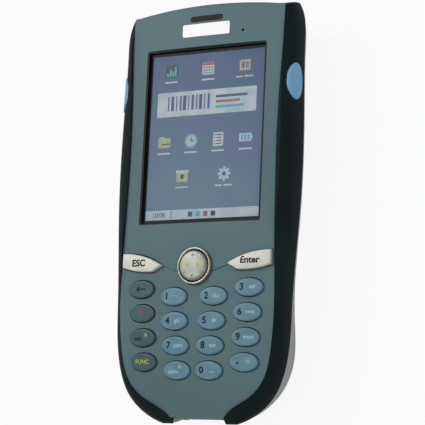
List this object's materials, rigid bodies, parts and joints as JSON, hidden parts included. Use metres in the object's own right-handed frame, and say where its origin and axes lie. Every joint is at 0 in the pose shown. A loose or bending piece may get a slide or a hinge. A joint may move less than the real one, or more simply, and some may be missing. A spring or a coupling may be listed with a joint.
{
  "type": "handheld barcode data terminal",
  "caption": "Handheld data terminal with a touch screen, oval keypad, rocking pad, two side scan keys, top scan window and rear battery door.",
  "frame": {"origin": "middle of the outline on the flat back that it lies on", "axes": "+Y towards the scan window end, +Z out of the screen, +X to the right of someone reading it"},
  "size_m": [0.0682, 0.1421, 0.029],
  "materials": {
    "teal_plastic": "matte, fine texture",
    "black_rubber": "matte",
    "grey_plastic": "matte, fine texture",
    "light_blue_key": "satin",
    "dark_teal_key": "satin",
    "pearl_plastic": "pearl satin",
    "satin_metal": "satin",
    "blue_trigger": "matte",
    "black_plastic": "matte",
    "screen_glass": "clear",
    "screen_module": "lit picture",
    "red_window": "deep red, polished",
    "plate_silver": "brushed",
    "silver_metal": "bare",
    "green_board": "lacquered board",
    "grey_rubber": "matte",
    "amber_film": "film",
    "battery_wrap": "matte wrap"
  },
  "bodies": {
    "case": {"backup_cell": "silver_metal", "battery_contacts": "silver_metal", "battery_pack": "battery_wrap", "case_screws": "silver_metal", "display_cable": "amber_film", "display_gasket": "black_plastic", "dock_connector": "black_plastic", "door_pins": "silver_metal", "front_cover": "teal_plastic", "key_domes": "silver_metal", "keypad_board": "green_board", "keypad_sheet": "grey_rubber", "lcd_module": "screen_module", "led_window": "red_window", "left_bumper": "black_rubber", "main_board": "green_board", "microphone": "silver_metal", "name_plate": "plate_silver", "nav_ring": "satin_metal", "nav_switch": "black_plastic", "rear_cover": "grey_plastic", "right_bumper": "black_rubber", "scan_bracket": "silver_metal", "scan_engine": "black_plastic", "scan_window": "red_window", "speaker": "black_plastic", "touch_panel": "screen_glass", "trigger_switches": "black_plastic"},
    "esc_key": {"esc_key": "pearl_plastic"},
    "enter_key": {"enter_key": "pearl_plastic"},
    "nav_stem": {"nav_stem": "black_plastic"},
    "nav_pad": {"nav_pad": "pearl_plastic"},
    "left_trigger": {"left_trigger": "blue_trigger"},
    "right_trigger": {"right_trigger": "blue_trigger"},
    "battery_door": {"battery_door": "grey_plastic"},
    "battery_lock": {"battery_lock": "black_plastic"},
    "stylus": {"stylus": "black_plastic"},
    "key_0": {"key_0": "light_blue_key"},
    "key_1": {"key_1": "light_blue_key"},
    "key_2": {"key_2": "light_blue_key"},
    "key_3": {"key_3": "light_blue_key"},
    "key_4": {"key_4": "light_blue_key"},
    "key_5": {"key_5": "light_blue_key"},
    "key_6": {"key_6": "light_blue_key"},
    "key_7": {"key_7": "light_blue_key"},
    "key_8": {"key_8": "light_blue_key"},
    "key_9": {"key_9": "light_blue_key"},
    "key_alpha": {"key_alpha": "light_blue_key"},
    "key_back": {"key_back": "dark_teal_key"},
    "key_function": {"key_function": "dark_teal_key"},
    "key_point": {"key_point": "light_blue_key"},
    "key_power": {"key_power": "dark_teal_key"},
    "key_tab": {"key_tab": "dark_teal_key"}
  },
  "joints": [
    {"name": "key_0_press", "type": "slide", "parent": "case", "child": "key_0", "axis": [0, 0, -1], "range_m": [0, 0.0006], "stiffness_N_per_m": 2500, "springref_m": -0.0002},
    {"name": "key_1_press", "type": "slide", "parent": "case", "child": "key_1", "axis": [0, 0, -1], "range_m": [0, 0.0006], "stiffness_N_per_m": 2500, "springref_m": -0.0002},
    {"name": "key_2_press", "type": "slide", "parent": "case", "child": "key_2", "axis": [0, 0, -1], "range_m": [0, 0.0006], "stiffness_N_per_m": 2500, "springref_m": -0.0002},
    {"name": "key_3_press", "type": "slide", "parent": "case", "child": "key_3", "axis": [0, 0, -1], "range_m": [0, 0.0006], "stiffness_N_per_m": 2500, "springref_m": -0.0002},
    {"name": "key_4_press", "type": "slide", "parent": "case", "child": "key_4", "axis": [0, 0, -1], "range_m": [0, 0.0006], "stiffness_N_per_m": 2500, "springref_m": -0.0002},
    {"name": "key_5_press", "type": "slide", "parent": "case", "child": "key_5", "axis": [0, 0, -1], "range_m": [0, 0.0006], "stiffness_N_per_m": 2500, "springref_m": -0.0002},
    {"name": "key_6_press", "type": "slide", "parent": "case", "child": "key_6", "axis": [0, 0, -1], "range_m": [0, 0.0006], "stiffness_N_per_m": 2500, "springref_m": -0.0002},
    {"name": "key_7_press", "type": "slide", "parent": "case", "child": "key_7", "axis": [0, 0, -1], "range_m": [0, 0.0006], "stiffness_N_per_m": 2500, "springref_m": -0.0002},
    {"name": "key_8_press", "type": "slide", "parent": "case", "child": "key_8", "axis": [0, 0, -1], "range_m": [0, 0.0006], "stiffness_N_per_m": 2500, "springref_m": -0.0002},
    {"name": "key_9_press", "type": "slide", "parent": "case", "child": "key_9", "axis": [0, 0, -1], "range_m": [0, 0.0006], "stiffness_N_per_m": 2500, "springref_m": -0.0002},
    {"name": "key_alpha_press", "type": "slide", "parent": "case", "child": "key_alpha", "axis": [0, 0, -1], "range_m": [0, 0.0006], "stiffness_N_per_m": 2500, "springref_m": -0.0002},
    {"name": "key_back_press", "type": "slide", "parent": "case", "child": "key_back", "axis": [0, 0, -1], "range_m": [0, 0.0006], "stiffness_N_per_m": 2500, "springref_m": -0.0002},
    {"name": "key_function_press", "type": "slide", "parent": "case", "child": "key_function", "axis": [0, 0, -1], "range_m": [0, 0.0006], "stiffness_N_per_m": 2500, "springref_m": -0.0002},
    {"name": "key_point_press", "type": "slide", "parent": "case", "child": "key_point", "axis": [0, 0, -1], "range_m": [0, 0.0006], "stiffness_N_per_m": 2500, "springref_m": -0.0002},
    {"name": "key_power_press", "type": "slide", "parent": "case", "child": "key_power", "axis": [0, 0, -1], "range_m": [0, 0.0006], "stiffness_N_per_m": 2500, "springref_m": -0.0002},
    {"name": "key_tab_press", "type": "slide", "parent": "case", "child": "key_tab", "axis": [0, 0, -1], "range_m": [0, 0.0006], "stiffness_N_per_m": 2500, "springref_m": -0.0002},
    {"name": "esc_key_press", "type": "slide", "parent": "case", "child": "esc_key", "axis": [0, 0, -1], "range_m": [0, 0.0006], "stiffness_N_per_m": 2500, "springref_m": -0.0002},
    {"name": "enter_key_press", "type": "slide", "parent": "case", "child": "enter_key", "axis": [0, 0, -1], "range_m": [0, 0.0006], "stiffness_N_per_m": 2500, "springref_m": -0.0002},
    {"name": "pad_tilt_side", "type": "hinge", "parent": "case", "child": "nav_stem", "pos_m": [0, -0.0192, 0.0213], "axis": [0, 1, 0], "range_deg": [-2, 2], "stiffness_Nm_per_rad": 0.1},
    {"name": "pad_tilt_along", "type": "hinge", "parent": "nav_stem", "child": "nav_pad", "pos_m": [0, -0.0192, 0.0213], "axis": [1, 0, 0], "range_deg": [-2, 2], "stiffness_Nm_per_rad": 0.1},
    {"name": "left_trigger_press", "type": "slide", "parent": "case", "child": "left_trigger", "axis": [1, 0, 0], "range_m": [0, 0.0008], "stiffness_N_per_m": 2500, "springref_m": -0.0002},
    {"name": "right_trigger_press", "type": "slide", "parent": "case", "child": "right_trigger", "axis": [-1, 0, 0], "range_m": [0, 0.0008], "stiffness_N_per_m": 2500, "springref_m": -0.0002},
    {"name": "battery_door_hinge", "type": "hinge", "parent": "case", "child": "battery_door", "pos_m": [0, -0.0456, 0.0016], "axis": [-1, 0, 0], "range_deg": [0, 75]},
    {"name": "battery_lock_slide", "type": "slide", "parent": "battery_door", "child": "battery_lock", "axis": [0, 1, 0], "range_m": [0, 0.002]},
    {"name": "stylus_slide", "type": "slide", "parent": "case", "child": "stylus", "axis": [0, 1, 0], "range_m": [0, 0.09]}
  ]
}
